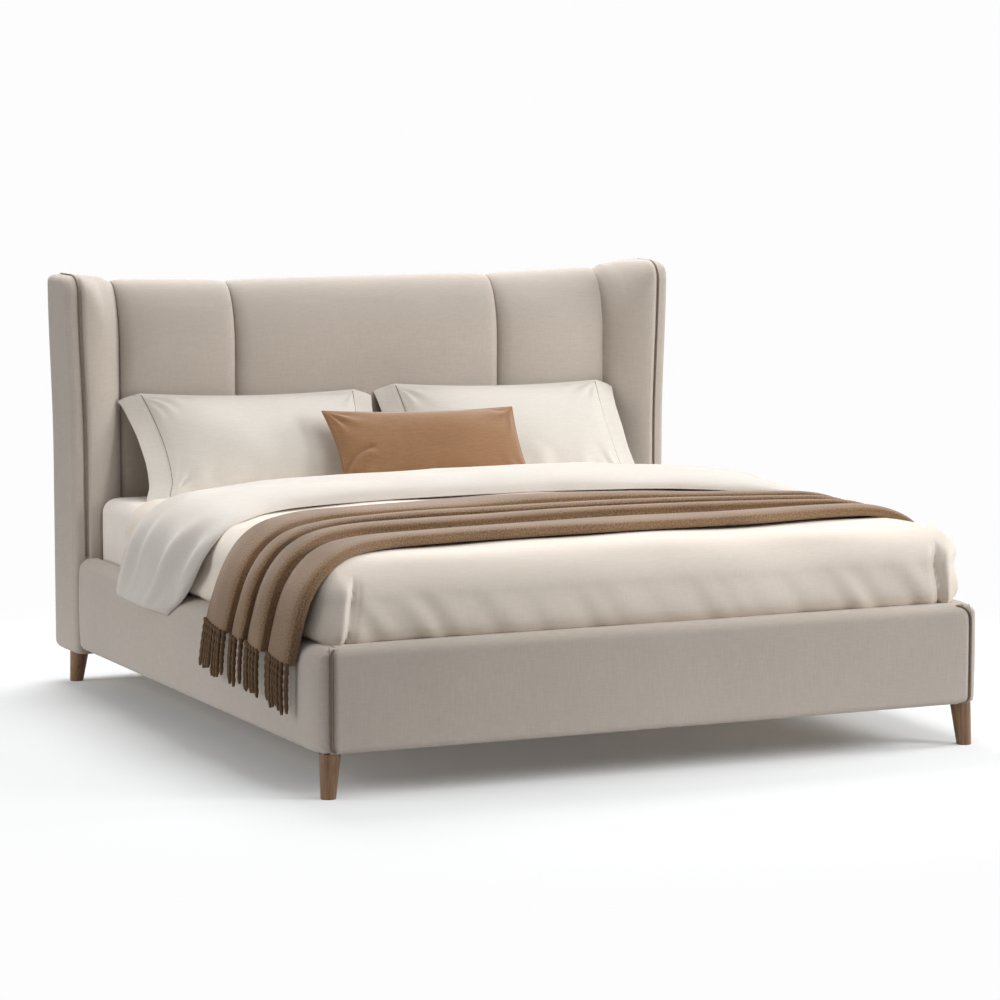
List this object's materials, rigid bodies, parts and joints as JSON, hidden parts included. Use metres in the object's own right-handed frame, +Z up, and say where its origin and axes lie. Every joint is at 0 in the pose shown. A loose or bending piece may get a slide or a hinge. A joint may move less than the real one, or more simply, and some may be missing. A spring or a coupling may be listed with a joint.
{
  "type": "upholstered bed",
  "caption": "King-size upholstered bed with a winged, channelled headboard, padded rails and footboard, tapered legs, and mattress, duvet, pillows, cushion and throw.",
  "frame": {"origin": "middle of the bed's bounding box, on the floor", "axes": "+Z up, +Y from the foot of the bed to the headboard, +X across, to the right seen from the foot"},
  "size_m": [2.148, 2.3018, 1.3354],
  "materials": {
    "upholstery": "matte",
    "welt": "matte",
    "plywood": "matte",
    "timber": "matte",
    "slat_wood": "satin",
    "walnut": "satin",
    "black_steel": "satin",
    "zinc_steel": "satin",
    "glide_plastic": "matte",
    "mattress_ticking": "matte",
    "sheet_cotton": "matte",
    "duvet_cotton": "matte",
    "pillow_cotton": "matte",
    "cushion_fabric": "matte",
    "throw_knit": "matte"
  },
  "bodies": {
    "bed_frame": {"beam_hangers": "black_steel", "bracket_bolts": "zinc_steel", "centre_beam": "timber", "centre_leg_foot": "black_steel", "centre_leg_head": "black_steel", "corner_brackets": "black_steel", "footboard_core": "plywood", "footboard_cover": "upholstery", "footboard_piping": "welt", "headboard_back_cover": "upholstery", "headboard_bottom_rail": "timber", "headboard_core": "plywood", "headboard_panel_centre": "upholstery", "headboard_panel_left": "upholstery", "headboard_panel_right": "upholstery", "headboard_post_left": "timber", "headboard_post_right": "timber", "headboard_top_rail": "timber", "leg_bolts": "zinc_steel", "leg_front_left": "walnut", "leg_front_right": "walnut", "leg_rear_left": "walnut", "leg_rear_right": "walnut", "side_ledger_left": "timber", "side_ledger_right": "timber", "side_rail_core_left": "plywood", "side_rail_core_right": "plywood", "side_rail_cover_left": "upholstery", "side_rail_cover_right": "upholstery", "slat_01": "slat_wood", "slat_02": "slat_wood", "slat_03": "slat_wood", "slat_04": "slat_wood", "slat_05": "slat_wood", "slat_06": "slat_wood", "slat_07": "slat_wood", "slat_08": "slat_wood", "slat_09": "slat_wood", "slat_10": "slat_wood", "slat_11": "slat_wood", "wing_base_left": "timber", "wing_base_right": "timber", "wing_board_left": "plywood", "wing_board_right": "plywood", "wing_pad_left": "upholstery", "wing_pad_right": "upholstery", "wing_piping_left": "welt", "wing_piping_right": "welt", "wing_side_left": "upholstery", "wing_side_right": "upholstery"},
    "mattress": {"mattress": "mattress_ticking", "fitted_sheet": "sheet_cotton", "duvet": "duvet_cotton"},
    "throw": {"throw": "throw_knit"},
    "pillow_left": {"pillow_left": "pillow_cotton"},
    "pillow_right": {"pillow_right": "pillow_cotton"},
    "lumbar_cushion": {"lumbar_cushion": "cushion_fabric"},
    "leveller_foot": {"leveller_foot": "glide_plastic"},
    "leveller_head": {"leveller_head": "glide_plastic"}
  },
  "joints": [
    {"name": "mattress_lift", "type": "slide", "parent": "bed_frame", "child": "mattress", "axis": [0, 0, 1], "range_m": [0, 0.3]},
    {"name": "throw_lift", "type": "slide", "parent": "mattress", "child": "throw", "axis": [0, 0, 1], "range_m": [0, 0.25]},
    {"name": "pillow_left_lift", "type": "slide", "parent": "mattress", "child": "pillow_left", "axis": [0, 0, 1], "range_m": [0, 0.25]},
    {"name": "pillow_right_lift", "type": "slide", "parent": "mattress", "child": "pillow_right", "axis": [0, 0, 1], "range_m": [0, 0.25]},
    {"name": "cushion_lift", "type": "slide", "parent": "pillow_left", "child": "lumbar_cushion", "axis": [0, 0, 1], "range_m": [0, 0.25]},
    {"name": "leveller_foot_screw", "type": "slide", "parent": "bed_frame", "child": "leveller_foot", "axis": [0, 0, 1], "range_m": [0, 0.01]},
    {"name": "leveller_head_screw", "type": "slide", "parent": "bed_frame", "child": "leveller_head", "axis": [0, 0, 1], "range_m": [0, 0.01]}
  ],
  "couplings": [
    {"joint": "pillow_right_lift", "follows": "pillow_left_lift", "ratio": 1}
  ]
}
